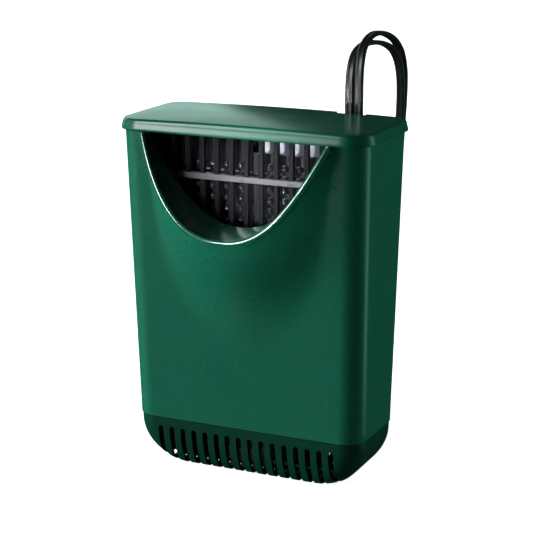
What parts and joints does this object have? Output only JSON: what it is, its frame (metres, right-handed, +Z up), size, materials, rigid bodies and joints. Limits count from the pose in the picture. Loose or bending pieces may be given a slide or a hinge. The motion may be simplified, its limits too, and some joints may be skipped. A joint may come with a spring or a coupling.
{
  "type": "aquarium waterfall filter",
  "caption": "Upright box-shaped in-tank filter with slotted intake foot, studded grid, curved spillway lip, lift-off lid and mains leads.",
  "frame": {"origin": "middle of the flat base of the intake cap, under the lid's centre", "axes": "+Z up, -Y towards the spillway front, +X to the right seen from the front"},
  "size_m": [0.148, 0.1681, 0.2362],
  "materials": {
    "green_shell": "deep green moulded plastic, satin gloss",
    "green_cap": "deep green moulded plastic, satin gloss",
    "green_lid": "deep green moulded plastic, gloss",
    "grid_plastic": "black moulded plastic",
    "stud_plastic": "black moulded plastic, high gloss",
    "black_plastic": "black moulded plastic",
    "white_floss": "bonded white polyester floss",
    "carbon": "bed of activated carbon grains",
    "pump_plastic": "dark grey moulded plastic",
    "sheet_steel": "stacked steel laminations",
    "copper_wire": "enamelled copper wire",
    "ferrite": "sintered ferrite",
    "ceramic": "white technical ceramic",
    "black_rubber": "black moulded rubber",
    "heater_glass": "clear borosilicate tube",
    "cup_rubber": "translucent soft vinyl",
    "lead_vinyl": "black vinyl, satin",
    "brass_blade": "plain brass"
  },
  "bodies": {
    "body": {"housing": "green_shell", "intake_cap": "green_cap", "cartridge_rail": "black_plastic", "motor_case": "pump_plastic", "motor_cover": "pump_plastic", "stator_core": "sheet_steel", "stator_winding": "copper_wire", "rotor_shaft": "ceramic", "bush_front": "black_rubber", "bush_rear": "black_rubber", "volute": "pump_plastic", "volute_cover": "pump_plastic", "pump_pad_left": "black_rubber", "pump_pad_right": "black_rubber", "riser_tube": "black_plastic", "riser_seal": "black_rubber", "diffuser_cap": "black_plastic", "intake_comb": "green_cap", "pump_gland": "black_rubber", "lead_grommet": "black_rubber", "heater_tube": "heater_glass", "heater_core": "ceramic", "heater_cap": "black_plastic", "heater_gland": "black_rubber", "heater_bracket": "black_plastic", "suction_cup_1": "cup_rubber", "suction_cup_2": "cup_rubber", "suction_cup_3": "cup_rubber", "suction_cup_4": "cup_rubber", "pump_lead": "lead_vinyl", "heater_lead": "lead_vinyl", "heater_coil": "lead_vinyl", "pump_coil": "lead_vinyl", "coil_tie": "black_rubber", "heater_plug": "lead_vinyl", "heater_plug_blade_1": "brass_blade", "heater_plug_blade_2": "brass_blade", "pump_plug": "lead_vinyl", "pump_plug_blade_1": "brass_blade", "pump_plug_blade_2": "brass_blade"},
    "lid": {"lid": "green_lid"},
    "cartridge_left": {"cartridge_left_sleeve": "white_floss", "cartridge_left_frame": "black_plastic", "cartridge_left_carbon": "carbon"},
    "cartridge_right": {"cartridge_right_sleeve": "white_floss", "cartridge_right_frame": "black_plastic", "cartridge_right_carbon": "carbon"},
    "scrubber": {"scrubber_frame": "grid_plastic", "scrubber_plate_left": "stud_plastic", "scrubber_plate_right": "stud_plastic", "scrubber_post": "stud_plastic"},
    "rotor": {"impeller": "pump_plastic", "rotor_magnet": "ferrite"}
  },
  "joints": [
    {"name": "lid_lift", "type": "slide", "parent": "body", "child": "lid", "axis": [0, 0, 1], "range_m": [0, 0.13]},
    {"name": "left_cartridge_lift", "type": "slide", "parent": "body", "child": "cartridge_left", "axis": [0, 0, 1], "range_m": [0, 0.09]},
    {"name": "right_cartridge_lift", "type": "slide", "parent": "body", "child": "cartridge_right", "axis": [0, 0, 1], "range_m": [0, 0.09]},
    {"name": "scrubber_lift", "type": "slide", "parent": "body", "child": "scrubber", "axis": [0, 0, 1], "range_m": [0, 0.06]},
    {"name": "impeller_spin", "type": "hinge", "parent": "body", "child": "rotor", "pos_m": [0, -0.001, 0.024], "axis": [1, 0, 0], "continuous": true}
  ],
  "couplings": [
    {"joint": "left_cartridge_lift", "follows": "lid_lift", "ratio": 0.69},
    {"joint": "right_cartridge_lift", "follows": "lid_lift", "ratio": 0.69},
    {"joint": "scrubber_lift", "follows": "lid_lift", "ratio": 0.46}
  ]
}
